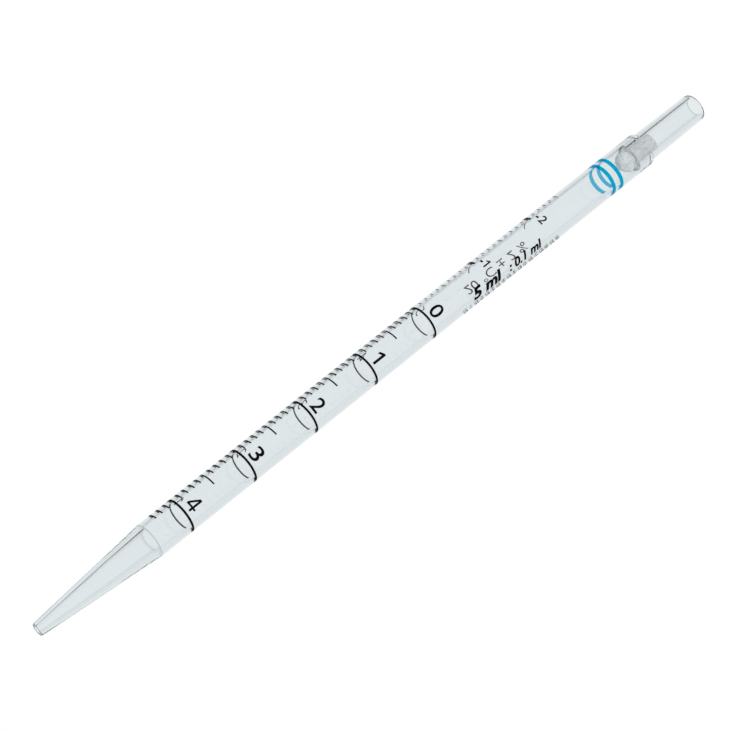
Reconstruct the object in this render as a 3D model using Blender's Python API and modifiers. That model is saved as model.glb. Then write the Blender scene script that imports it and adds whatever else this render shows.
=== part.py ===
"""Graduated pipette, 5 ml in steps of 0.1 ml: a clear plastic tube with a
moulded tip, a moulded mouthpiece, a fibre filter plug and a printed scale.

The pipette stands on its tip: +Z runs along the axis to the mouthpiece, the
origin is the centre of the tip's outlet, and the numerals face -Y.
"""

import math

import bmesh
import bpy

MM = 0.001
ML = 1.0e-6
OBJECT_NAME = "graduated_pipette"

# Tube. One millilitre of bore is one graduation.
TUBE_OUTER_R = 4.75 * MM
TUBE_BORE_R = 3.94 * MM
TUBE_BOTTOM_Z = 35.0 * MM
TUBE_TOP_Z = 206.9 * MM
PITCH = ML / (math.pi * TUBE_BORE_R ** 2)
FIT_GAP = 0.2 * MM

# Tip: a straight cone that flares a little where it meets the tube.
TIP_RIM_R = 1.45 * MM
TIP_ROUND_R = 0.35 * MM
TIP_CONE_TOP_R = 4.22 * MM
TIP_CONE_TOP_Z = 29.6 * MM
TIP_OUTLET_R = 0.92 * MM
TIP_BORE_KNEE_R = 2.62 * MM
TIP_BORE_KNEE_Z = 23.6 * MM
TIP_BORE_TOP_R = 3.06 * MM
TIP_SPIGOT_TOP_Z = 35.3 * MM

# Mouthpiece: a tapered nozzle over a collar as wide as the tube.
MOUTH_TOP_Z = 229.3 * MM
MOUTH_ROOT_R = 4.07 * MM
MOUTH_RIM_R = 3.86 * MM
MOUTH_BORE_R = 2.65 * MM
MOUTH_ROUND_R = 0.45 * MM
COLLAR_TOP_Z = 208.5 * MM
COLLAR_ROUND_R = 0.5 * MM
SPIGOT_BOTTOM_Z = 203.4 * MM

# Filter plug: pressed into the mouthpiece, with a loose end inside the tube.
PLUG_TOP_Z = 211.7 * MM
PLUG_BOTTOM_Z = 199.6 * MM
PLUG_R = MOUTH_BORE_R - FIT_GAP
PLUG_BULGE_R = 2.95 * MM
PLUG_ROUND_R = 0.5 * MM

# Printed scale. Angles are measured round the tube from the front (-Y),
# positive towards +X.
INK_GAP = 0.1 * MM
INK_THICKNESS = 0.12 * MM
LINE_WIDTH = 0.60 * MM
HALF_TICK_WIDTH = 0.40 * MM
ZERO_Z = 127.0 * MM
RING_COUNT = 5
RING_ANGLES = (126.0 - 360.0, 98.0)
HALF_TICK_ANGLES = (-100.0, -12.0)
MINUS_TICK_ANGLES = (-139.0, -49.0)
MINUS_SIGN_ANGLES = (-45.0, -34.4)
DIGIT_RESOLUTION = 4

# Digits: height, height of the base over the line, and angle of the middle.
# The digits of the minus scale start at one angle, under each other.
NUMERAL = (4.1 * MM, 1.05 * MM, -2.8)
RISING_DIGIT = (3.1 * MM, 1.3 * MM, -132.5)
MINUS_DIGIT_HEIGHT = 2.55 * MM
MINUS_DIGIT_LIFT = 0.67 * MM
MINUS_DIGIT_START = -29.2
MINUS_SIGN_SHARE = 0.38

# Width of each digit as a share of its height.
DIGIT_WIDTHS = {"0": 0.69, "1": 0.41, "2": 0.66, "3": 0.66, "4": 0.72, "5": 0.65}

# Outline of a 1 with its flag, in the font's own units. The built-in font's 1
# is a plain bar.
ONE_OUTLINE = [(0.205, 0.0), (0.30, 0.0), (0.30, 0.69), (0.225, 0.69),
               (0.04, 0.565), (0.04, 0.46), (0.205, 0.545)]

# Colour code: two bands near the mouthpiece.
BAND_ANGLES = (130.0 - 360.0, 98.0)
BAND_WIDTH = 1.15 * MM
BAND_Z = {"colour_band_lower": 193.0 * MM, "colour_band_upper": 195.9 * MM}

ROUND_SEGMENTS = 48
ARC_SEGMENTS = 3
SHARP_ANGLE = math.radians(35.0)


def clear_scene():
    for obj in list(bpy.data.objects):
        bpy.data.objects.remove(obj, do_unlink=True)


def new_collection(name):
    collection = bpy.data.collections.new(name)
    bpy.context.scene.collection.children.link(collection)
    return collection


def new_material(name, color, roughness, transmission=0.0):
    material = bpy.data.materials.new(name)
    material.use_nodes = True
    shader = material.node_tree.nodes["Principled BSDF"]
    shader.inputs["Base Color"].default_value = (*color, 1.0)
    shader.inputs["Roughness"].default_value = roughness
    shader.inputs["Metallic"].default_value = 0.0
    shader.inputs["Transmission Weight"].default_value = transmission
    material.diffuse_color = (*color, 1.0)
    return material


def clear_plastic(name):
    return new_material(name, (0.80, 0.87, 0.89), 0.06, transmission=0.9)


def black_ink(name):
    return new_material(name, (0.012, 0.012, 0.013), 0.45)


def blue_ink(name):
    return new_material(name, (0.01, 0.33, 0.62), 0.40)


def filter_fibre(name):
    return new_material(name, (0.72, 0.75, 0.76), 0.95)


def add_object(name, mesh, collection, material=None):
    obj = bpy.data.objects.new(name, mesh)
    collection.objects.link(obj)
    if material is not None:
        mesh.materials.append(material(name + "_material"))
    return obj


def arc(center, radius, start_deg, end_deg):
    """Points of a quarter round in a profile, (r, z), both ends included."""
    points = []
    for i in range(ARC_SEGMENTS + 1):
        angle = math.radians(start_deg + (end_deg - start_deg) * i / ARC_SEGMENTS)
        points.append((center[0] + radius * math.cos(angle),
                       center[1] + radius * math.sin(angle)))
    return points


def add_screw(obj, angle, segments):
    screw = obj.modifiers.new("turn", "SCREW")
    screw.axis = "Z"
    screw.angle = angle
    screw.steps = segments
    screw.render_steps = segments
    screw.use_merge_vertices = True
    screw.merge_threshold = 0.001 * MM
    screw.use_smooth_shade = True
    return screw


def turned(name, profile, collection, material, closed=True):
    """Turn a profile of (r, z) points, listed down the outer side first."""
    bm = bmesh.new()
    verts = [bm.verts.new((r, 0.0, z)) for r, z in profile]
    for first, second in zip(verts, verts[1:]):
        bm.edges.new((first, second))
    if closed:
        bm.edges.new((verts[-1], verts[0]))
    mesh = bpy.data.meshes.new(name)
    bm.to_mesh(mesh)
    bm.free()
    obj = add_object(name, mesh, collection, material)
    add_screw(obj, 2.0 * math.pi, ROUND_SEGMENTS)
    return obj


def body_tube(collection):
    profile = [
        (TUBE_OUTER_R, TUBE_TOP_Z),
        (TUBE_OUTER_R, TUBE_BOTTOM_Z),
        (TUBE_BORE_R, TUBE_BOTTOM_Z),
        (TUBE_BORE_R, TUBE_TOP_Z),
    ]
    return turned("body_tube", profile, collection, clear_plastic)


def tip(collection):
    shoulder_z = TUBE_BOTTOM_Z - FIT_GAP
    spigot_r = TUBE_BORE_R - FIT_GAP
    profile = [
        (spigot_r, TIP_SPIGOT_TOP_Z),
        (spigot_r, shoulder_z),
        (TUBE_OUTER_R, shoulder_z),
        (TIP_CONE_TOP_R, TIP_CONE_TOP_Z),
    ]
    profile += arc((TIP_RIM_R, TIP_ROUND_R), TIP_ROUND_R, 0.0, -90.0)
    profile += [
        (TIP_OUTLET_R, 0.0),
        (TIP_BORE_KNEE_R, TIP_BORE_KNEE_Z),
        (TIP_BORE_TOP_R, TIP_SPIGOT_TOP_Z),
    ]
    return turned("tip", profile, collection, clear_plastic)


def mouthpiece(collection):
    rim_outer = (MOUTH_RIM_R - MOUTH_ROUND_R, MOUTH_TOP_Z - MOUTH_ROUND_R)
    rim_inner = (MOUTH_BORE_R + MOUTH_ROUND_R, MOUTH_TOP_Z - MOUTH_ROUND_R)
    collar = (TUBE_OUTER_R - COLLAR_ROUND_R, COLLAR_TOP_Z - COLLAR_ROUND_R)
    collar_bottom_z = TUBE_TOP_Z + FIT_GAP
    spigot_r = TUBE_BORE_R - FIT_GAP
    profile = arc(rim_outer, MOUTH_ROUND_R, 90.0, 0.0)
    profile += [(MOUTH_ROOT_R, COLLAR_TOP_Z)]
    profile += arc(collar, COLLAR_ROUND_R, 90.0, 0.0)
    profile += [
        (TUBE_OUTER_R, collar_bottom_z),
        (spigot_r, collar_bottom_z),
        (spigot_r, SPIGOT_BOTTOM_Z),
        (MOUTH_BORE_R, SPIGOT_BOTTOM_Z),
    ]
    profile += arc(rim_inner, MOUTH_ROUND_R, 180.0, 90.0)
    return turned("mouthpiece", profile, collection, clear_plastic)


def filter_plug(collection):
    bulge_z = (SPIGOT_BOTTOM_Z + PLUG_BOTTOM_Z) / 2.0
    half = (SPIGOT_BOTTOM_Z - PLUG_BOTTOM_Z) / 2.0
    profile = [(0.0, PLUG_TOP_Z)]
    profile += arc((PLUG_R - PLUG_ROUND_R, PLUG_TOP_Z - PLUG_ROUND_R),
                   PLUG_ROUND_R, 90.0, 0.0)
    profile += [(PLUG_R, SPIGOT_BOTTOM_Z - FIT_GAP)]
    profile += [(PLUG_BULGE_R, bulge_z + 0.35 * half),
                (PLUG_BULGE_R, bulge_z - 0.35 * half)]
    profile += [(0.75 * PLUG_BULGE_R, PLUG_BOTTOM_Z + 0.15 * half),
                (0.0, PLUG_BOTTOM_Z)]
    return turned("filter_plug", profile, collection, filter_fibre, closed=False)


def ink_skin(name, angles, bottom_z, top_z, collection, material):
    """A strip of ink round the tube between two angles, in degrees."""
    start, end = (math.radians(a) for a in angles)
    step = 2.0 * math.pi / ROUND_SEGMENTS
    segments = max(2, math.ceil((end - start) / step))
    radius = TUBE_OUTER_R + INK_GAP
    mesh = bpy.data.meshes.new(name)
    mesh.from_pydata([(radius, 0.0, top_z), (radius, 0.0, bottom_z)],
                     [(0, 1)], [])
    obj = add_object(name, mesh, collection, material)
    obj.rotation_euler.z = start - math.pi / 2.0
    add_screw(obj, end - start, segments)
    solid = obj.modifiers.new("thickness", "SOLIDIFY")
    solid.thickness = INK_THICKNESS
    solid.offset = 1.0
    return obj


def ink_line(name, angles, z, width, collection, material=black_ink):
    return ink_skin(name, angles, z - width / 2.0, z + width / 2.0,
                    collection, material)


def digit_curve(name, digit):
    """A digit as a flat curve, one unit thick."""
    if digit == "1":
        curve = bpy.data.curves.new(name, "CURVE")
        curve.dimensions = "2D"
        curve.fill_mode = "BOTH"
        spline = curve.splines.new("POLY")
        spline.points.add(len(ONE_OUTLINE) - 1)
        for point, (x, y) in zip(spline.points, ONE_OUTLINE):
            point.co = (x, y, 0.0, 1.0)
        spline.use_cyclic_u = True
    else:
        curve = bpy.data.curves.new(name, "FONT")
        curve.body = digit
        curve.resolution_u = DIGIT_RESOLUTION
    curve.extrude = 0.5
    return curve


def digit_cutter(name, digit, height, angle, base_z, cutters):
    """A digit as a block through the ink skin, facing -Y, then turned."""
    source = bpy.data.objects.new(name + "_flat", digit_curve(name, digit))
    cutters.objects.link(source)
    bpy.context.view_layer.update()
    evaluated = source.evaluated_get(bpy.context.evaluated_depsgraph_get())
    mesh = bpy.data.meshes.new_from_object(evaluated)
    bpy.data.objects.remove(source, do_unlink=True)

    bm = bmesh.new()
    bm.from_mesh(mesh)
    bmesh.ops.remove_doubles(bm, verts=bm.verts, dist=1.0e-4)
    low_x, high_x = (end(v.co.x for v in bm.verts) for end in (min, max))
    low_y, high_y = (end(v.co.y for v in bm.verts) for end in (min, max))
    width = DIGIT_WIDTHS[digit] * height
    for v in bm.verts:
        v.co = (((v.co.x - low_x) / (high_x - low_x) - 0.5) * width,
                -TUBE_OUTER_R * (1.0 + 0.5 * v.co.z),
                (v.co.y - low_y) / (high_y - low_y) * height + base_z)
    bm.to_mesh(mesh)
    bm.free()

    cutter = bpy.data.objects.new(name + "_cutter", mesh)
    cutters.objects.link(cutter)
    cutter.rotation_euler.z = math.radians(angle)
    cutter.display_type = "WIRE"
    cutter.hide_render = True
    return cutter


def ink_digit(name, digit, layout, line_z, collection, cutters):
    """A printed digit over a line: the ink skin where the digit lies."""
    height, lift, angle = layout
    base_z = line_z + lift
    cutter = digit_cutter(name, digit, height, angle, base_z, cutters)
    half_angle = math.degrees(DIGIT_WIDTHS[digit] * height / TUBE_OUTER_R)
    obj = ink_skin(name, (angle - half_angle, angle + half_angle),
                   base_z - LINE_WIDTH, base_z + height + LINE_WIDTH,
                   collection, black_ink)
    cut = obj.modifiers.new("digit", "BOOLEAN")
    cut.operation = "INTERSECT"
    cut.solver = "EXACT"
    cut.object = cutter
    return obj


def main_scale(collection, cutters):
    """Rings from 0 down to 4 ml, each with its numeral in front and, behind,
    the digit of the rising scale; and a line at each half."""
    for count in range(RING_COUNT):
        ring_z = ZERO_Z - count * PITCH
        rising = RING_COUNT - count
        ink_line("ring_%d" % count, RING_ANGLES, ring_z, LINE_WIDTH, collection)
        ink_digit("numeral_%d" % count, str(count), NUMERAL, ring_z,
                  collection, cutters)
        ink_digit("rising_digit_%d" % rising, str(rising), RISING_DIGIT, ring_z,
                  collection, cutters)
    for count in range(RING_COUNT - 1):
        half_z = ZERO_Z - (count + 0.5) * PITCH
        ink_line("half_tick_%d_5" % count, HALF_TICK_ANGLES, half_z,
                 HALF_TICK_WIDTH, collection)


def minus_scale(collection, cutters):
    """Lines, signs and digits at one and two millilitres above zero."""
    sign_lift = MINUS_DIGIT_LIFT + MINUS_SIGN_SHARE * MINUS_DIGIT_HEIGHT
    for count in (1, 2):
        line_z = ZERO_Z + count * PITCH
        half_width = DIGIT_WIDTHS[str(count)] * MINUS_DIGIT_HEIGHT / 2.0
        middle = MINUS_DIGIT_START + math.degrees(half_width / TUBE_OUTER_R)
        ink_line("minus_tick_%d" % count, MINUS_TICK_ANGLES, line_z,
                 LINE_WIDTH, collection)
        ink_line("minus_sign_%d" % count, MINUS_SIGN_ANGLES,
                 line_z + sign_lift, LINE_WIDTH, collection)
        ink_digit("minus_digit_%d" % count, str(count),
                  (MINUS_DIGIT_HEIGHT, MINUS_DIGIT_LIFT, middle), line_z,
                  collection, cutters)


def colour_bands(collection):
    for name, band_z in BAND_Z.items():
        ink_line(name, BAND_ANGLES, band_z, BAND_WIDTH, collection, blue_ink)


def main():
    clear_scene()
    parts = new_collection(OBJECT_NAME)
    cutters = new_collection("cutters")
    body_tube(parts)
    tip(parts)
    mouthpiece(parts)
    filter_plug(parts)
    main_scale(parts, cutters)
    minus_scale(parts, cutters)
    colour_bands(parts)


main()
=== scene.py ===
"""Looks of the graduated pipette: clear moulded plastic, printed scale and
fibre plug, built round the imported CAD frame. +Z runs along the pipette to its
mouthpiece, and the numerals face -Y. Lengths are in metres."""

import math
import random

import bmesh
import bpy
from mathutils import Matrix, Vector, noise


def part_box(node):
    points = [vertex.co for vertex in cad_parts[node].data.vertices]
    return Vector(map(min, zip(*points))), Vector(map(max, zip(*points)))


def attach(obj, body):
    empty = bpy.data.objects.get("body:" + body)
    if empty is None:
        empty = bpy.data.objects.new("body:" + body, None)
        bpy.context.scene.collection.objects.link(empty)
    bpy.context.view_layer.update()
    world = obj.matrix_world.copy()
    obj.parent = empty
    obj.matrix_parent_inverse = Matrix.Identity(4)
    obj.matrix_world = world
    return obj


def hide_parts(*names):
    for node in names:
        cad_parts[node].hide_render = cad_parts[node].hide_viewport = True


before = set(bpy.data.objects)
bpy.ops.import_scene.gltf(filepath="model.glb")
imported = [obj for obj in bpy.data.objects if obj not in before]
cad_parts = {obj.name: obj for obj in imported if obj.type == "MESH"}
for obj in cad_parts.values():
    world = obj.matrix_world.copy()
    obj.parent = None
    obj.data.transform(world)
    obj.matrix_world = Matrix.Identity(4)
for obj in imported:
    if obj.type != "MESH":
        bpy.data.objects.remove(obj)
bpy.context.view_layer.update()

MM = 0.001

# Places read from the frame.
TUBE_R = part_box("body_tube")[1].x
TUBE_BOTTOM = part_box("body_tube")[0].z
TUBE_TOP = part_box("body_tube")[1].z
TIP_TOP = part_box("tip")[1].z
MOUTH_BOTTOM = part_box("mouthpiece")[0].z
MOUTH_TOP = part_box("mouthpiece")[1].z
PLUG_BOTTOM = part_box("filter_plug")[0].z
PLUG_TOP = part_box("filter_plug")[1].z


def middle_z(node):
    low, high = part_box(node)
    return (low.z + high.z) / 2.0


def height_of(node):
    low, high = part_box(node)
    return high.z - low.z


# Walls and fits, after the CAD's. Here the welds have no gap, the tip flares in
# a curve, small corners are rounded by CORNER_R, and the collar's upper edge is
# drawn out along the axis.
TUBE_BORE_R = 3.94 * MM
WELD_DEPTH = 0.01 * MM
CORNER_R = 0.15 * MM
TIP_RIM_R = 1.45 * MM
TIP_ROUND_R = 0.35 * MM
TIP_CONE_BOTTOM = 0.45 * MM
TIP_CONE_STEPS = 28
TIP_OUTER_R0 = 1.78 * MM
TIP_OUTER_SLOPE = 0.0824
TIP_FLARE_Z = 27.0 * MM
TIP_OUTLET_R = 0.92 * MM
TIP_BORE_KNEE_R = 2.62 * MM
TIP_BORE_KNEE_Z = 23.6 * MM
TIP_BORE_TOP_R = 3.06 * MM
MOUTH_ROOT_R = 4.07 * MM
MOUTH_RIM_R = 3.86 * MM
MOUTH_BORE_R = 2.65 * MM
MOUTH_ROUND_R = 0.45 * MM
NOZZLE_LENGTH = 20.8 * MM
COLLAR_TOP = MOUTH_TOP - NOZZLE_LENGTH
COLLAR_ROUND_R = 0.5 * MM
COLLAR_STRETCH = 1.9
END_FACE_DEPTH = 0.01 * MM

# The filter plug: straight in the bore, and swollen, round and lumpy below it.
# LUMP_FRACTAL holds the noise's H, lacunarity and octaves.
PLUG_SLACK = 0.18 * MM
PLUG_STRAIGHT_R = MOUTH_BORE_R - PLUG_SLACK
PLUG_ROUND_R = 0.35 * MM
PLUG_SWELL = 0.37 * MM
PLUG_SWELL_RATE = 1.3
PLUG_NOSE_POWER = 4
PLUG_STEPS = 64
PLUG_SEGMENTS = 96
PLUG_END_MARGIN = 0.1 * MM
LOOSE_TOP = MOUTH_BOTTOM + 0.3 * MM
LOOSE_RUN = 1.5 * MM
LUMP_SCALE = 420.0
LUMP_FRACTAL = (0.9, 2.1, 4)
PACKED_LUMP = 0.06 * MM
LOOSE_LUMP = 0.42 * MM
LOOSE_LUMP_LIMIT = 0.3 * MM
LOOSE_LUMP_RISE = 0.25 * MM
NEAR_AXIS = 0.01 * MM

# Loose strands: where their middles and their points may lie, and their ranges
# of heading in radians, bow and length.
STRAND_SEED = 7
STRAND_COUNT = 220
STRAND_POINTS = 9
STRAND_R = 0.018 * MM
STRAND_MIDDLES = (PLUG_BOTTOM + 0.4 * MM, MOUTH_BOTTOM - 0.3 * MM)
STRAND_LOW = PLUG_BOTTOM + 0.2 * MM
STRAND_HIGH = MOUTH_BOTTOM - 0.1 * MM
STRAND_HEADINGS = (-1.2, 1.2)
STRAND_BOWS = (0.05 * MM, 0.32 * MM)
STRAND_LENGTHS = (1.0 * MM, 2.6 * MM)
STRAND_LEAST_R = 0.5 * MM

# The printed scale. PITCH is a millilitre. Below the last ring and above the
# zero ring the scale goes on by some tenths.
RING_COUNT = 5
ZERO_Z = middle_z("ring_0")
PITCH = (ZERO_Z - middle_z("ring_4")) / 4.0
LAST_TENTHS = 3
MINUS_TENTHS = 25

# Print. Angles run round the tube from the front, in degrees, positive towards
# +X. Stations are (angle, width): rings and minus ticks are thinner behind.
INK_ROOT = -0.004 * MM
INK_PROUD = 0.028 * MM
WRAP_STEP = math.radians(3.0)
LINE_WIDTH = height_of("ring_0")
FINE_WIDTH = height_of("half_tick_0_5")
FAINT_WIDTH = 0.25 * MM
BAND_WIDTH = height_of("colour_band_lower")
RING_BACK_WIDTH = 0.42 * MM
MINUS_BACK_WIDTH = 0.32 * MM
RING_STATIONS = [(126.0 - 360.0, RING_BACK_WIDTH), (-128.0, RING_BACK_WIDTH),
                 (-106.0, LINE_WIDTH), (98.0, LINE_WIDTH)]
MINUS_STATIONS = [(-139.0, MINUS_BACK_WIDTH), (-118.0, MINUS_BACK_WIDTH),
                  (-104.0, LINE_WIDTH), (-49.0, LINE_WIDTH)]
BAND_STATIONS = [(130.0 - 360.0, BAND_WIDTH), (98.0, BAND_WIDTH)]
HALF_ANGLES = (-100.0, -12.0)
FINE_ANGLES = (-96.0, -42.7)
MINUS_HALF_ANGLES = (-80.0, -52.0)
MINUS_FINE_ANGLES = (-76.0, -57.0)
MINUS_SIGN_ANGLES = (-45.0, -34.4)
MINUS_DIGIT_START = -29.2
NUMERAL_ANGLE = -2.8
RISING_ANGLE = -132.5

# Digits. A weight thickens the font's outlines. Widths are shares of a digit's
# height, and two digits have outlines of their own: outer edge, then holes.
TEXT_WEIGHT = 0.011
RISING_WEIGHT = -0.006
FONT_RESOLUTION = 10
DIGIT_WIDTHS = {"0": 0.69, "1": 0.41, "2": 0.66, "3": 0.66, "4": 0.72, "5": 0.65}
ONE_OUTLINE = [(0.19, 0.0), (0.30, 0.0), (0.30, 0.69), (0.215, 0.69),
               (0.03, 0.57), (0.03, 0.455), (0.19, 0.54)]
FOUR_OUTLINE = [(0.40, 0.0), (0.53, 0.0), (0.53, 0.22), (0.68, 0.22), (0.68, 0.35),
                (0.53, 0.35), (0.53, 1.0), (0.37, 1.0), (0.0, 0.36), (0.0, 0.22),
                (0.40, 0.22)]
FOUR_COUNTER = [(0.40, 0.35), (0.40, 0.80), (0.145, 0.35)]
OWN_OUTLINES = {"1": [ONE_OUTLINE], "4": [FOUR_OUTLINE, FOUR_COUNTER]}

# Generic marks that read up the axis: name, text, height of the letters, lower
# and upper end, angle, slant and weight.
COUNT_TEXT = " ".join("0.%d" % tenth for tenth in range(1, 10))
MARKS = [
    ("ink_volume_mark", "5 ml", 3.2 * MM,
     (141.0 * MM, 151.5 * MM), 34.0, 0.25, 0.042),
    ("ink_step_mark", ": 0.1 ml", 2.6 * MM,
     (154.0 * MM, 166.0 * MM), 35.0, 0.25, 0.036),
    ("ink_temperature_mark", "20 \u00b0C \u00b1 2 %", 3.1 * MM,
     (144.0 * MM, 166.0 * MM), 169.0, 0.0, 0.0),
    ("ink_count_mark", COUNT_TEXT, 1.4 * MM,
     (137.5 * MM, 172.3 * MM), 79.0, 0.2, 0.0),
]

# Meshes. A profile's run longer than LONG_RUN gets points HOLD from its ends.
ROUND_SEGMENTS = 192
SHARP_ANGLE = math.radians(32.0)
LONG_RUN = 0.8 * MM
HOLD = 0.12 * MM
LATHE_MERGE = 0.0001 * MM
FONT_MERGE = 1.0e-5
CUT_LIMIT = 1.0e-9

# Materials. Tones are the stops of a ramp, a plain number being a grey. The ink
# films barely refract, so their index is close to air's.
PLASTIC_IOR = 1.59
PLASTIC_TINTS = [(0.35, (0.965, 0.975, 0.98)), (0.65, (0.975, 0.985, 0.99))]
PLASTIC_DEPTH = (0.79, 0.82, 0.84)
PLASTIC_DENSITY = 30.0
FROST_ROUGHNESS = 0.4
FILM_IOR = 1.1
BLACK_TONES = [(0.35, (0.003, 0.003, 0.003)), (0.70, (0.007, 0.007, 0.007))]
BLUE_TONES = [(0.35, (0.001, 0.46, 0.75)), (0.70, (0.003, 0.53, 0.80))]
# Fibre tones follow the same noise that bumps the strands, so the gaps between strands get
# the darker tone: random tone with painted shade in the gaps.
FIBRE_TONES_AND_GAP_SHADE = [(0.25, (0.66, 0.715, 0.73)), (0.60, (0.93, 0.965, 0.97))]
# Painted shade by height up the plug: full at the nose, darker towards the upper end in the
# mouthpiece's bore.
FIBRE_BORE_SHADE = [(0.0, 1.0), (0.30, 0.95), (0.6, 0.83), (1.0, 0.80)]
FLOOR_TONES = [(0.3, (0.80, 0.81, 0.82)), (0.7, (0.84, 0.85, 0.86))]

# The studio: the colour of its walls by azimuth from +Y, and where the dark
# card stands, by azimuth and by the height of the ray.
WHITE = (1.0, 1.0, 1.0)
BACKDROP = (0.85, 0.895, 0.91)
FRONT_WALL = (0.55, 0.55, 0.55)
SIDE_WALL = (0.745, 0.785, 0.80)
WALL_STOPS = [(-180.0, FRONT_WALL), (-94.0, FRONT_WALL), (-80.0, SIDE_WALL),
              (-24.0, SIDE_WALL), (-13.0, BACKDROP), (13.0, BACKDROP),
              (24.0, SIDE_WALL), (80.0, SIDE_WALL), (94.0, FRONT_WALL),
              (180.0, FRONT_WALL)]
CARD_TURN = [(-90.0, 0.0), (-84.0, 1.0), (-64.0, 1.0), (-58.0, 0.0)]
CARD_HEIGHT = [(0.17, 0.0), (0.20, 1.0), (0.56, 1.0), (0.60, 0.0)]
CARD_COLOR = (0.04, 0.045, 0.05)
FLOOR_R = 4.0
FLOOR_Z = -0.80
FLOOR_SEGMENTS = 96

# Lights: name, place, width and power. Each is taller than it is wide.
LIGHTS = [("key", (-0.9, -0.9, 0.7), 0.6, 5.6),
          ("fill", (0.45, -0.75, -0.25), 0.36, 4.5)]
LIGHT_ASPECT = 1.5
LIGHT_TARGET = (0.0, 0.0, 0.11)

CAMERA_TILT = math.radians(22.83)
CAMERA_ROLL = math.radians(38.5)
CAMERA_DISTANCE = 0.6678
CAMERA_TARGET = (-0.0008, 0.0, 0.10753)
CAMERA_LENS = 131.4
CAMERA_SENSOR = 36.0
CAMERA_CLIP = (0.01, 50.0)


# ---------------------------------------------------------------- materials

def node_material(name):
    material = bpy.data.materials.new(name)
    material.use_nodes = True
    nodes = material.node_tree.nodes
    return material, nodes, material.node_tree.links, nodes["Principled BSDF"]


def object_noise(nodes, links, scale, stretch=(1.0, 1.0, 1.0), detail=3.0):
    """A noise texture in the object's own coordinates, stretched per axis."""
    coords = nodes.new("ShaderNodeTexCoord")
    mapping = nodes.new("ShaderNodeMapping")
    mapping.inputs["Scale"].default_value = stretch
    texture = nodes.new("ShaderNodeTexNoise")
    texture.inputs["Scale"].default_value = scale
    texture.inputs["Detail"].default_value = detail
    links.new(coords.outputs["Object"], mapping.inputs["Vector"])
    links.new(mapping.outputs["Vector"], texture.inputs["Vector"])
    return texture.outputs["Fac"]


def opaque(color):
    """A colour or a grey's number, as red, green, blue and alpha."""
    return (*color, 1.0) if isinstance(color, tuple) else (color, color, color, 1.0)


def ramp(nodes, links, source, stops):
    """A colour ramp on a value: stops are (position, colour)."""
    node = nodes.new("ShaderNodeValToRGB")
    elements = node.color_ramp.elements
    while len(elements) < len(stops):
        elements.new(0.5)
    for element, (position, color) in zip(elements, stops):
        element.position = position
        element.color = opaque(color)
    links.new(source, node.inputs["Fac"])
    return node.outputs["Color"]


def spread(nodes, links, source, low, high):
    """A value brought from low..high to 0..1."""
    node = nodes.new("ShaderNodeMapRange")
    node.inputs["From Min"].default_value = low
    node.inputs["From Max"].default_value = high
    links.new(source, node.inputs["Value"])
    return node.outputs["Result"]


def multiplied(nodes, links, first, second):
    """Two colours multiplied."""
    node = nodes.new("ShaderNodeMixRGB")
    node.blend_type = "MULTIPLY"
    node.inputs["Fac"].default_value = 1.0
    links.new(first, node.inputs["Color1"])
    links.new(second, node.inputs["Color2"])
    return node.outputs["Color"]


def painted_over(nodes, links, share, under, color):
    """A colour laid over another, as far as the share goes."""
    node = nodes.new("ShaderNodeMixRGB")
    node.inputs["Color2"].default_value = opaque(color)
    links.new(share, node.inputs["Fac"])
    links.new(under, node.inputs["Color1"])
    return node.outputs["Color"]


def add_bump(nodes, links, shader, height, strength, distance):
    bump = nodes.new("ShaderNodeBump")
    bump.inputs["Strength"].default_value = strength
    bump.inputs["Distance"].default_value = distance
    links.new(height, bump.inputs["Height"])
    links.new(bump.outputs["Normal"], shader.inputs["Normal"])


def clear_plastic(name, roughness=0.0):
    """Clear polystyrene: a cool tint that deepens with the wall's thickness,
    and faint flow lines along the axis."""
    material, nodes, links, shader = node_material(name)
    shader.inputs["Roughness"].default_value = roughness
    shader.inputs["IOR"].default_value = PLASTIC_IOR
    shader.inputs["Transmission Weight"].default_value = 1.0
    cloud = object_noise(nodes, links, scale=220.0, stretch=(1.0, 1.0, 0.12), detail=2.0)
    links.new(ramp(nodes, links, cloud, PLASTIC_TINTS), shader.inputs["Base Color"])
    lines = object_noise(nodes, links, scale=700.0, stretch=(1.0, 1.0, 0.01), detail=2.0)
    add_bump(nodes, links, shader, lines, strength=0.012, distance=0.02 * MM)
    depth = nodes.new("ShaderNodeVolumeAbsorption")
    depth.inputs["Color"].default_value = opaque(PLASTIC_DEPTH)
    depth.inputs["Density"].default_value = PLASTIC_DENSITY
    links.new(depth.outputs["Volume"], nodes["Material Output"].inputs["Volume"])
    return material


def printed_ink(name, tones, roughness, clearness=0.0):
    """A screen-printed film: near-even colour with a slightly rough face."""
    material, nodes, links, shader = node_material(name)
    shader.inputs["Roughness"].default_value = roughness
    shader.inputs["Specular IOR Level"].default_value = 0.12
    shader.inputs["IOR"].default_value = FILM_IOR
    shader.inputs["Transmission Weight"].default_value = clearness
    cloud = object_noise(nodes, links, scale=2600.0)
    links.new(ramp(nodes, links, cloud, tones), shader.inputs["Base Color"])
    grain = object_noise(nodes, links, scale=9000.0)
    add_bump(nodes, links, shader, grain, strength=0.25, distance=0.01 * MM)
    return material


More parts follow.
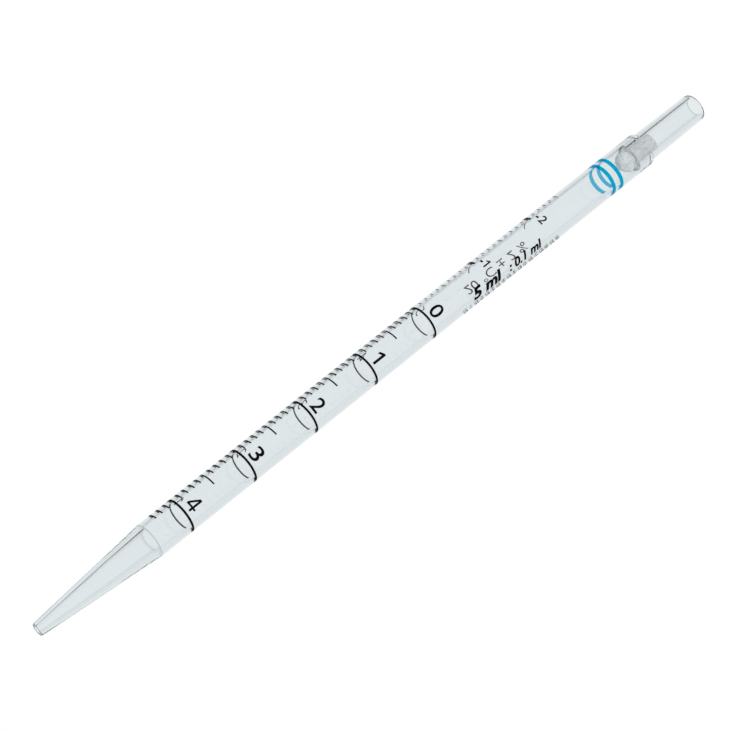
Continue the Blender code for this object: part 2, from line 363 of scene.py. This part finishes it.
def packed_fibre(name):
    """White filter fibre: matted strands with painted shade in the gaps between them,
    and painted shade that darkens it towards the plug's upper end, which sits in
    the mouthpiece's bore."""
    material, nodes, links, shader = node_material(name)
    shader.inputs["Roughness"].default_value = 0.95
    shader.inputs["Specular IOR Level"].default_value = 0.15
    shader.inputs["Sheen Weight"].default_value = 0.25
    strands = object_noise(nodes, links, scale=2200.0, stretch=(1.0, 1.0, 0.35), detail=5.0)
    # Painted shade: the strands' low places, the gaps between them, take the darker tone.
    strand_tone_and_gap_shade = ramp(nodes, links, strands, FIBRE_TONES_AND_GAP_SHADE)
    # Painted shade by height: the fibre is darker towards the plug's upper end, in the
    # mouthpiece's bore.
    coords = nodes.new("ShaderNodeTexCoord")
    split = nodes.new("ShaderNodeSeparateXYZ")
    links.new(coords.outputs["Object"], split.inputs["Vector"])
    height = spread(nodes, links, split.outputs["Z"], PLUG_BOTTOM, PLUG_TOP)
    painted_bore_shade = ramp(nodes, links, height, FIBRE_BORE_SHADE)
    links.new(multiplied(nodes, links, strand_tone_and_gap_shade, painted_bore_shade), shader.inputs["Base Color"])
    add_bump(nodes, links, shader, strands, strength=0.7, distance=0.12 * MM)
    return material


def pale_floor(name):
    material, nodes, links, shader = node_material(name)
    shader.inputs["Roughness"].default_value = 0.6
    cloud = object_noise(nodes, links, scale=3.0)
    links.new(ramp(nodes, links, cloud, FLOOR_TONES), shader.inputs["Base Color"])
    return material


# ------------------------------------------------------------------ meshes

def add_object(name, data):
    obj = bpy.data.objects.new(name, data)
    bpy.context.scene.collection.objects.link(obj)
    return obj


def add_mesh(name, bm, material):
    bmesh.ops.recalc_face_normals(bm, faces=bm.faces)
    for face in bm.faces:
        face.smooth = True
    mesh = bpy.data.meshes.new(name)
    bm.to_mesh(mesh)
    bm.free()
    mesh.set_sharp_from_angle(angle=SHARP_ANGLE)
    mesh.materials.append(material)
    return add_object(name, mesh)


def settle(obj, slot, *nodes):
    """The piece rides on the one body and hides these CAD nodes. The slot is not used."""
    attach(obj, "root")
    if nodes:
        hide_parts(*nodes)


def settle_clear(obj, node):
    """A clear piece casts no shadow, so that the lights reach the print and the
    plug through its walls."""
    obj.visible_shadow = False
    settle(obj, "clear_plastic", node)


def arc(center, radius, start_deg, end_deg, steps=8):
    points = []
    for i in range(steps + 1):
        angle = math.radians(start_deg + (end_deg - start_deg) * i / steps)
        points.append((center[0] + radius * math.cos(angle),
                       center[1] + radius * math.sin(angle)))
    return points


def held(profile, closed):
    """The profile with a point close to each end of its long runs, so that
    smooth shading keeps them straight."""
    points = []
    count = len(profile) if closed else len(profile) - 1
    for i in range(count):
        first = Vector(profile[i])
        second = Vector(profile[(i + 1) % len(profile)])
        points.append(tuple(first))
        run = second - first
        if run.length > LONG_RUN:
            points.append(tuple(first + run.normalized() * HOLD))
            points.append(tuple(second - run.normalized() * HOLD))
    if not closed:
        points.append(profile[-1])
    return points


def lathe(profile, closed=True, segments=ROUND_SEGMENTS):
    """A turned solid from (r, z) points, as a bmesh."""
    bm = bmesh.new()
    verts = [bm.verts.new((r, 0.0, z)) for r, z in held(profile, closed)]
    edges = [bm.edges.new(pair) for pair in zip(verts, verts[1:])]
    if closed:
        edges.append(bm.edges.new((verts[-1], verts[0])))
    bmesh.ops.spin(bm, geom=verts + edges, cent=(0, 0, 0), axis=(0, 0, 1),
                   dvec=(0, 0, 0), angle=2.0 * math.pi, steps=segments,
                   use_merge=True, use_duplicate=False)
    bmesh.ops.remove_doubles(bm, verts=bm.verts, dist=LATHE_MERGE)
    return bm


def span(bm, axis):
    """The lowest and the highest place of a mesh along an axis."""
    places = [vert.co[axis] for vert in bm.verts]
    return min(places), max(places)


# ----------------------------------------------------------- plastic pieces

def make_tube(plastic):
    """The extruded tube, cut square at both ends for its welds."""
    profile = [
        (TUBE_R, TUBE_TOP),
        (TUBE_R, TUBE_BOTTOM),
        (TUBE_BORE_R, TUBE_BOTTOM),
        (TUBE_BORE_R, TUBE_TOP),
    ]
    settle_clear(add_mesh("tube_body", lathe(profile), plastic), "body_tube")


def tip_outer_radius(z):
    """A straight cone with a slight flare towards the weld."""
    flare_length = TUBE_BOTTOM - TIP_FLARE_Z
    cone = TIP_OUTER_R0 + TIP_OUTER_SLOPE * z
    rise = TUBE_R - (TIP_OUTER_R0 + TIP_OUTER_SLOPE * TUBE_BOTTOM)
    return cone + rise * (max(0.0, z - TIP_FLARE_Z) / flare_length) ** 2


def make_tip(plastic):
    """The cone, with the lip that locates it in the tube's bore."""
    shoulder = TUBE_BOTTOM + WELD_DEPTH
    lip_r = TUBE_BORE_R + WELD_DEPTH
    profile = [
        (TIP_BORE_TOP_R, TIP_TOP),
        (lip_r, TIP_TOP),
        (lip_r, shoulder),
    ]
    for i in range(TIP_CONE_STEPS + 1):
        z = shoulder * (1.0 - i / TIP_CONE_STEPS) + TIP_CONE_BOTTOM * i / TIP_CONE_STEPS
        profile.append((tip_outer_radius(z), z))
    profile += arc((TIP_RIM_R, TIP_ROUND_R), TIP_ROUND_R, -8.0, -90.0)
    profile += arc((TIP_OUTLET_R + CORNER_R, CORNER_R), CORNER_R, 270.0, 180.0, 4)
    profile += [(TIP_BORE_KNEE_R, TIP_BORE_KNEE_Z)]
    settle_clear(add_mesh("tip_cone", lathe(profile), plastic), "tip")


def make_mouthpiece(plastic, frosted):
    """The nozzle, its collar and the spigot, whose end face is frosted."""
    round_z = MOUTH_TOP - MOUTH_ROUND_R
    collar = (TUBE_R - COLLAR_ROUND_R, COLLAR_TOP - COLLAR_ROUND_R)
    collar_bottom = TUBE_TOP - WELD_DEPTH
    spigot_r = TUBE_BORE_R + WELD_DEPTH
    profile = arc((MOUTH_RIM_R - MOUTH_ROUND_R, round_z), MOUTH_ROUND_R, 90.0, 0.0)
    profile += arc((MOUTH_ROOT_R + CORNER_R, COLLAR_TOP + CORNER_R),
                   CORNER_R, 180.0, 270.0, 4)
    profile += [(r, COLLAR_TOP + (z - COLLAR_TOP) * COLLAR_STRETCH)
                for r, z in arc(collar, COLLAR_ROUND_R, 90.0, 0.0)]
    profile += [
        (TUBE_R, collar_bottom),
        (spigot_r, collar_bottom),
        (spigot_r, MOUTH_BOTTOM),
        (MOUTH_BORE_R, MOUTH_BOTTOM),
    ]
    profile += arc((MOUTH_BORE_R + MOUTH_ROUND_R, round_z), MOUTH_ROUND_R, 180.0, 90.0)
    obj = add_mesh("mouthpiece_nozzle", lathe(profile), plastic)
    obj.data.materials.append(frosted)
    for face in obj.data.polygons:
        if face.center.z < MOUTH_BOTTOM + END_FACE_DEPTH:
            face.material_index = 1
    settle_clear(obj, "mouthpiece")


# ------------------------------------------------------------- filter plug

def plug_radius(z):
    """Straight in the mouthpiece's bore, swollen and round-ended below it."""
    if z >= MOUTH_BOTTOM:
        return PLUG_STRAIGHT_R
    share = (MOUTH_BOTTOM - z) / (MOUTH_BOTTOM - PLUG_BOTTOM)
    swell = PLUG_SWELL * math.sin(math.pi * min(1.0, share * PLUG_SWELL_RATE))
    return (PLUG_STRAIGHT_R + swell) * math.sqrt(max(0.0, 1.0 - share ** PLUG_NOSE_POWER))


def make_plug(fibre):
    round_z = PLUG_TOP - PLUG_ROUND_R
    profile = [(0.0, PLUG_TOP)]
    profile += arc((PLUG_STRAIGHT_R - PLUG_ROUND_R, round_z), PLUG_ROUND_R, 90.0, 0.0, 5)
    for i in range(1, PLUG_STEPS):
        z = round_z - (round_z - PLUG_BOTTOM) * i / PLUG_STEPS
        profile.append((plug_radius(z), z))
    profile.append((0.0, PLUG_BOTTOM))
    bm = lathe(profile, closed=False, segments=PLUG_SEGMENTS)
    for vert in bm.verts:
        loose = min(1.0, max(0.0, (LOOSE_TOP - vert.co.z) / LOOSE_RUN))
        lump = noise.fractal(vert.co * LUMP_SCALE, *LUMP_FRACTAL)
        side = Vector((vert.co.x, vert.co.y, 0.0))
        if side.length > NEAR_AXIS:
            depth = (PACKED_LUMP + LOOSE_LUMP * loose) * lump
            vert.co += side.normalized() * min(depth, LOOSE_LUMP_LIMIT * loose)
        vert.co.z += LOOSE_LUMP_RISE * loose * lump
        vert.co.z = max(vert.co.z, PLUG_BOTTOM + PLUG_END_MARGIN)
    settle(add_mesh("plug_core", bm, fibre), "filter_fibre", "filter_plug")


def make_loose_fibres(fibre):
    """Fine strands that stand off the plug's loose end."""
    rng = random.Random(STRAND_SEED)
    curve = bpy.data.curves.new("plug_strands", "CURVE")
    curve.dimensions = "3D"
    curve.bevel_depth = STRAND_R
    curve.bevel_resolution = 1
    for _ in range(STRAND_COUNT):
        angle = rng.uniform(0.0, 2.0 * math.pi)
        z = rng.uniform(*STRAND_MIDDLES)
        heading = rng.uniform(*STRAND_HEADINGS)
        bow = rng.uniform(*STRAND_BOWS)
        length = rng.uniform(*STRAND_LENGTHS)
        spline = curve.splines.new("POLY")
        spline.points.add(STRAND_POINTS - 1)
        for i, point in enumerate(spline.points):
            share = i / (STRAND_POINTS - 1)
            run = (share - 0.5) * length
            height = min(max(z + run * math.sin(heading), STRAND_LOW), STRAND_HIGH)
            radius = plug_radius(height) + bow * math.sin(math.pi * share)
            turn = angle + run * math.cos(heading) / max(radius, STRAND_LEAST_R)
            point.co = (radius * math.cos(turn), radius * math.sin(turn), height, 1.0)
    curve.materials.append(fibre)
    settle(add_object("plug_strands", curve), "filter_fibre")


# ------------------------------------------------------------------- print

def along_arc(angle):
    """How far an angle in degrees is from the front, along the tube's face."""
    return math.radians(angle) * TUBE_R


def even(angles, width):
    """The stations of a stroke of one width."""
    return [(angle, width) for angle in angles]


def flat_stroke(bm, stations, z):
    """A flat stroke with its middle at z. Along x is the arc round the tube."""
    ends = []
    for angle, width in stations:
        x = along_arc(angle)
        ends.append([bm.verts.new((x, z + side * width / 2.0, 0.0)) for side in (-1.0, 1.0)])
    for (low_a, high_a), (low_b, high_b) in zip(ends, ends[1:]):
        bm.faces.new((low_a, low_b, high_b, high_a))


def outline_shape(loops):
    """Flat faces inside closed outlines, the first outer and the rest holes."""
    bm = bmesh.new()
    for loop in loops:
        verts = [bm.verts.new((x, y, 0.0)) for x, y in loop]
        for pair in zip(verts, verts[1:] + verts[:1]):
            bm.edges.new(pair)
    bmesh.ops.triangle_fill(bm, edges=bm.edges[:], use_beauty=True, normal=(0.0, 0.0, 1.0))
    return bm


def font_shape(text, shear, weight):
    """Flat faces of a text in Blender's own font."""
    curve = bpy.data.curves.new("text", "FONT")
    curve.body = text
    curve.resolution_u = FONT_RESOLUTION
    curve.shear = shear
    curve.offset = weight
    source = add_object("text", curve)
    bpy.context.view_layer.update()
    evaluated = source.evaluated_get(bpy.context.evaluated_depsgraph_get())
    mesh = bpy.data.meshes.new_from_object(evaluated)
    bm = bmesh.new()
    bm.from_mesh(mesh)
    bpy.data.objects.remove(source, do_unlink=True)
    bpy.data.meshes.remove(mesh)
    bmesh.ops.remove_doubles(bm, verts=bm.verts, dist=FONT_MERGE)
    return bm


def flat_text(text, height, shear=0.0, weight=TEXT_WEIGHT):
    """Text as flat faces, as tall as height, centred along x, with its base at
    y = 0."""
    own = OWN_OUTLINES.get(text)
    bm = outline_shape(own) if own else font_shape(text, shear, weight)
    low_x, high_x = span(bm, 0)
    low_y, high_y = span(bm, 1)
    scale = height / (high_y - low_y)
    middle_x = (low_x + high_x) / 2.0
    for vert in bm.verts:
        vert.co = ((vert.co.x - middle_x) * scale, (vert.co.y - low_y) * scale, 0.0)
    return bm


def set_width(bm, width):
    """Stretch flat text along x to a width."""
    low, high = span(bm, 0)
    stretch = width / (high - low)
    for vert in bm.verts:
        vert.co.x *= stretch


def wrap(bm):
    """Bend flat faces round the tube, x along the arc and y up the axis, and
    give them the thickness of an ink film that is rooted in the plastic."""
    low, high = span(bm, 0)
    step = WRAP_STEP * TUBE_R
    for i in range(1, math.ceil((high - low) / step)):
        geometry = bm.verts[:] + bm.edges[:] + bm.faces[:]
        bmesh.ops.bisect_plane(bm, geom=geometry, plane_co=(low + i * step, 0, 0),
                               plane_no=(1, 0, 0), dist=CUT_LIMIT)
    bmesh.ops.recalc_face_normals(bm, faces=bm.faces)
    root = list(bm.faces)
    made = bmesh.ops.extrude_face_region(bm, geom=root, use_keep_orig=True)
    outer = {v for v in made["geom"] if isinstance(v, bmesh.types.BMVert)}
    for vert in bm.verts:
        radius = TUBE_R + (INK_PROUD if vert in outer else INK_ROOT)
        angle = vert.co.x / TUBE_R
        vert.co = (radius * math.sin(angle), -radius * math.cos(angle), vert.co.y)
    return bm


def print_lines(name, lines, ink, slot, *nodes):
    """Lines round the tube, each (stations, middle z), as one piece."""
    bm = bmesh.new()
    for stations, z in lines:
        flat_stroke(bm, stations, z)
    settle(add_mesh(name, wrap(bm), ink), slot, *nodes)


def print_digit(node, digit, angle, ink, weight=TEXT_WEIGHT):
    """A digit as tall as its CAD node, at its height, round at an angle."""
    height = height_of(node)
    bm = flat_text(digit, height, weight=weight)
    set_width(bm, DIGIT_WIDTHS[digit] * height)
    shift = Vector((along_arc(angle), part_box(node)[0].z, 0.0))
    bmesh.ops.translate(bm, vec=shift, verts=bm.verts)
    settle(add_mesh("ink_" + node, wrap(bm), ink), "black_ink", node)


def print_along(name, text, height, ends, angle, ink, shear, weight):
    """Text that reads up the axis, between two heights, with the middle of its
    letters at an angle."""
    low_z, high_z = ends
    bm = flat_text(text, height, shear, weight)
    set_width(bm, high_z - low_z)
    for vert in bm.verts:
        vert.co = (along_arc(angle) - (vert.co.y - height / 2.0),
                   (low_z + high_z) / 2.0 + vert.co.x, 0.0)
    settle(add_mesh(name, wrap(bm), ink), "black_ink")


def print_main_scale(ink):
    fine = []
    for count in range(RING_COUNT):
        ring_z = ZERO_Z - count * PITCH
        print_lines("ink_ring_%d" % count, [(RING_STATIONS, ring_z)],
                    ink, "black_ink", "ring_%d" % count)
        print_digit("numeral_%d" % count, str(count), NUMERAL_ANGLE, ink)
        rising = RING_COUNT - count
        print_digit("rising_digit_%d" % rising, str(rising), RISING_ANGLE, ink,
                    RISING_WEIGHT)
        last = 9 if count < RING_COUNT - 1 else LAST_TENTHS
        fine += [(even(FINE_ANGLES, FINE_WIDTH), ring_z - tenth * PITCH / 10.0)
                 for tenth in range(1, last + 1) if tenth != 5]
    for count in range(RING_COUNT - 1):
        node = "half_tick_%d_5" % count
        print_lines("ink_" + node, [(even(HALF_ANGLES, FINE_WIDTH), middle_z(node))],
                    ink, "black_ink", node)
    print_lines("ink_fine_scale", fine, ink, "black_ink")


def print_minus_scale(ink):
    fine = []
    for tenth in range(1, MINUS_TENTHS + 1):
        if tenth % 10:
            angles = MINUS_HALF_ANGLES if tenth % 5 == 0 else MINUS_FINE_ANGLES
            fine.append((even(angles, FAINT_WIDTH), ZERO_Z + tenth * PITCH / 10.0))
    print_lines("ink_minus_fine_scale", fine, ink, "black_ink")
    for count in (1, 2):
        tick, sign = "minus_tick_%d" % count, "minus_sign_%d" % count
        print_lines("ink_" + tick, [(MINUS_STATIONS, middle_z(tick))],
                    ink, "black_ink", tick)
        print_lines("ink_" + sign, [(even(MINUS_SIGN_ANGLES, LINE_WIDTH), middle_z(sign))],
                    ink, "black_ink", sign)
        digit = "minus_digit_%d" % count
        half_width = DIGIT_WIDTHS[str(count)] * height_of(digit) / 2.0
        middle = MINUS_DIGIT_START + math.degrees(half_width / TUBE_R)
        print_digit(digit, str(count), middle, ink)


def print_marks(ink):
    """Generic marks in place of the maker's lettering: only numbers and units."""
    for name, text, height, ends, angle, shear, weight in MARKS:
        print_along(name, text, height, ends, angle, ink, shear, weight)


def print_bands(ink):
    for side in ("lower", "upper"):
        node = "colour_band_" + side
        print_lines("ink_band_" + side, [(BAND_STATIONS, middle_z(node))],
                    ink, "blue_ink", node)


# ------------------------------------------------------------------- stage

def make_floor():
    """A wide pale disc far below the pipette, which is held up by its
    mouthpiece."""
    bm = bmesh.new()
    bmesh.ops.create_circle(bm, cap_ends=True, segments=FLOOR_SEGMENTS, radius=FLOOR_R)
    bmesh.ops.translate(bm, vec=(0.0, 0.0, FLOOR_Z), verts=bm.verts)
    floor = add_mesh("floor", bm, pale_floor("floor_pale"))


def placed(stops, low, high):
    """Stops with their places brought from low..high to 0..1."""
    return [((place - low) / (high - low), value) for place, value in stops]


def make_world():
    """A soft studio: a pale grey backdrop behind the pipette, slightly darker
    sides, a mid-grey front, and a dark card on the left that draws the thin
    dark lines in the clear walls. The camera itself sees plain white."""
    world = bpy.data.worlds.new("studio")
    bpy.context.scene.world = world
    world.use_nodes = True
    nodes, links = world.node_tree.nodes, world.node_tree.links
    coords = nodes.new("ShaderNodeTexCoord")
    split = nodes.new("ShaderNodeSeparateXYZ")
    links.new(coords.outputs["Generated"], split.inputs["Vector"])
    azimuth = nodes.new("ShaderNodeMath")
    azimuth.operation = "ARCTAN2"
    links.new(split.outputs["X"], azimuth.inputs[0])
    links.new(split.outputs["Y"], azimuth.inputs[1])
    turn = spread(nodes, links, azimuth.outputs[0], -math.pi, math.pi)
    height = spread(nodes, links, split.outputs["Z"], -1.0, 1.0)
    walls = ramp(nodes, links, turn, placed(WALL_STOPS, -180.0, 180.0))
    card = nodes.new("ShaderNodeMath")
    card.operation = "MULTIPLY"
    links.new(ramp(nodes, links, turn, placed(CARD_TURN, -180.0, 180.0)), card.inputs[0])
    links.new(ramp(nodes, links, height, placed(CARD_HEIGHT, -1.0, 1.0)), card.inputs[1])
    room = painted_over(nodes, links, card.outputs[0], walls, CARD_COLOR)
    path = nodes.new("ShaderNodeLightPath")
    seen = painted_over(nodes, links, path.outputs["Is Camera Ray"], room, WHITE)
    links.new(seen, nodes["Background"].inputs["Color"])


def set_light_paths():
    """Plain colours, and enough bounces for clear walls inside each other."""
    scene = bpy.context.scene
    scene.view_settings.view_transform = "Standard"
    scene.cycles.max_bounces = 48
    scene.cycles.glossy_bounces = 32
    scene.cycles.transmission_bounces = 32


def make_lights():
    """Two large soft boxes, in front to the left and to the right. The clear
    walls don't mirror them."""
    for name, place, width, power in LIGHTS:
        light = bpy.data.lights.new(name, "AREA")
        light.shape = "RECTANGLE"
        light.size = width
        light.size_y = width * LIGHT_ASPECT
        light.energy = power
        obj = add_object(name, light)
        obj.location = place
        aim = Vector(LIGHT_TARGET) - obj.location
        obj.rotation_euler = aim.to_track_quat("-Z", "Y").to_euler()
        obj.visible_camera = False
        obj.visible_glossy = False
        obj.visible_transmission = False


def make_camera():
    """From the front and below, rolled so that the pipette runs from the lower
    left to the upper right of the picture."""
    look = Vector((0.0, math.cos(CAMERA_TILT), math.sin(CAMERA_TILT)))
    along = Vector((0.0, -math.sin(CAMERA_TILT), math.cos(CAMERA_TILT)))
    across = Vector((1.0, 0.0, 0.0))
    right = math.cos(CAMERA_ROLL) * along + math.sin(CAMERA_ROLL) * across
    up = math.sin(CAMERA_ROLL) * along - math.cos(CAMERA_ROLL) * across
    data = bpy.data.cameras.new("camera")
    data.lens = CAMERA_LENS
    data.sensor_width = CAMERA_SENSOR
    data.clip_start, data.clip_end = CAMERA_CLIP
    camera = add_object("camera", data)
    place = Vector(CAMERA_TARGET) - CAMERA_DISTANCE * look
    basis = Matrix((right, up, -look)).transposed().to_4x4()
    camera.matrix_world = Matrix.Translation(place) @ basis
    bpy.context.scene.camera = camera


def main():
    make_camera()
    make_world()
    set_light_paths()
    make_lights()
    make_floor()
    plastic = clear_plastic("clear_plastic")
    make_tube(plastic)
    make_tip(plastic)
    make_mouthpiece(plastic, clear_plastic("frosted_plastic", FROST_ROUGHNESS))
    fibre = packed_fibre("filter_fibre")
    make_plug(fibre)
    make_loose_fibres(fibre)
    black = printed_ink("black_ink", BLACK_TONES, roughness=0.5)
    print_main_scale(black)
    print_minus_scale(black)
    print_marks(black)
    print_bands(printed_ink("blue_ink", BLUE_TONES, roughness=0.12, clearness=0.95))


main()
